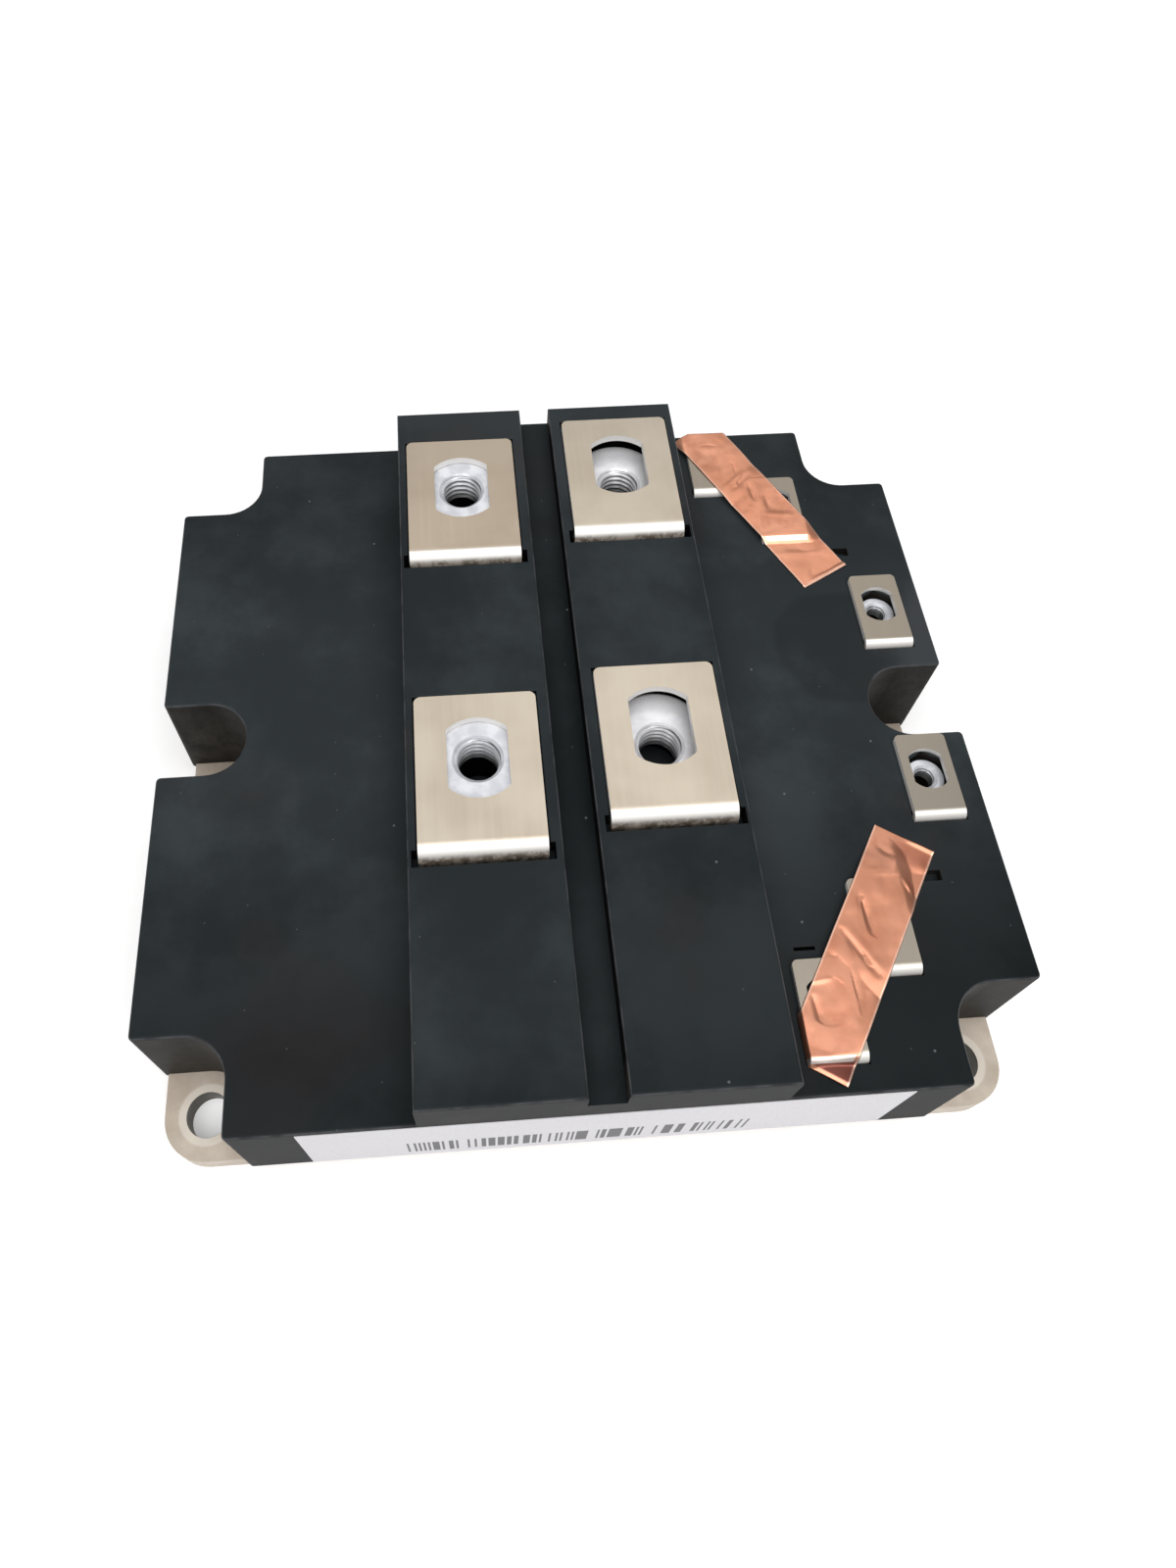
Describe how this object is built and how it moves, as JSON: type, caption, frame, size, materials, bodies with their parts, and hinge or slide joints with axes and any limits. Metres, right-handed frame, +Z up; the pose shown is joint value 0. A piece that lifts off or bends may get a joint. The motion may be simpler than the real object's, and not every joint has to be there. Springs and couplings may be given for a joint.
{
  "type": "igbt module",
  "caption": "Flat rectangular power transistor module: moulded case with raised bars that carry strap screw terminals, small side terminals, foil shorting strips and a metal base plate.",
  "frame": {"origin": "centre of the base plate's underside, which is the mounting face", "axes": "+X along the long side of the case, to the side with the small terminals; +Y to the back, along the raised bars; +Z up, away from the heat sink"},
  "size_m": [0.14, 0.1301, 0.038],
  "materials": {
    "case_plastic": "satin moulded black",
    "plate_nickel": "matt nickel plating on copper",
    "terminal_nickel": "satin nickel plating",
    "nut_zinc": "bright zinc plating",
    "copper": "bare copper",
    "copper_foil": "creased copper foil",
    "ceramic": "white ceramic",
    "silicon": "polished grey",
    "aluminium_wire": "drawn wire",
    "label_paper": "white paper label"
  },
  "bodies": {
    "root": {"base_plate": "plate_nickel", "case": "case_plastic", "front_label": "label_paper", "main_terminal_left_back": "terminal_nickel", "main_nut_left_back": "nut_zinc", "substrate_solder_copper_left_back": "copper", "substrate_ceramic_left_back": "ceramic", "substrate_pads_left_back": "copper", "transistor_chips_left_back": "silicon", "diode_chips_left_back": "silicon", "bond_wires_left_back": "aluminium_wire", "main_terminal_left_front": "terminal_nickel", "main_nut_left_front": "nut_zinc", "substrate_solder_copper_left_front": "copper", "substrate_ceramic_left_front": "ceramic", "substrate_pads_left_front": "copper", "transistor_chips_left_front": "silicon", "diode_chips_left_front": "silicon", "bond_wires_left_front": "aluminium_wire", "main_terminal_right_back": "terminal_nickel", "main_nut_right_back": "nut_zinc", "substrate_solder_copper_right_back": "copper", "substrate_ceramic_right_back": "ceramic", "substrate_pads_right_back": "copper", "transistor_chips_right_back": "silicon", "diode_chips_right_back": "silicon", "bond_wires_right_back": "aluminium_wire", "main_terminal_right_front": "terminal_nickel", "main_nut_right_front": "nut_zinc", "substrate_solder_copper_right_front": "copper", "substrate_ceramic_right_front": "ceramic", "substrate_pads_right_front": "copper", "transistor_chips_right_front": "silicon", "diode_chips_right_front": "silicon", "bond_wires_right_front": "aluminium_wire", "emitter_back_terminal": "terminal_nickel", "emitter_back_nut": "nut_zinc", "gate_back_terminal": "terminal_nickel", "gate_back_nut": "nut_zinc", "collector_back_terminal": "terminal_nickel", "collector_back_nut": "nut_zinc", "collector_front_terminal": "terminal_nickel", "collector_front_nut": "nut_zinc", "gate_front_terminal": "terminal_nickel", "gate_front_nut": "nut_zinc", "emitter_front_terminal": "terminal_nickel", "emitter_front_nut": "nut_zinc", "shorting_foil_back": "copper_foil", "shorting_foil_front": "copper_foil"}
  },
  "joints": []
}
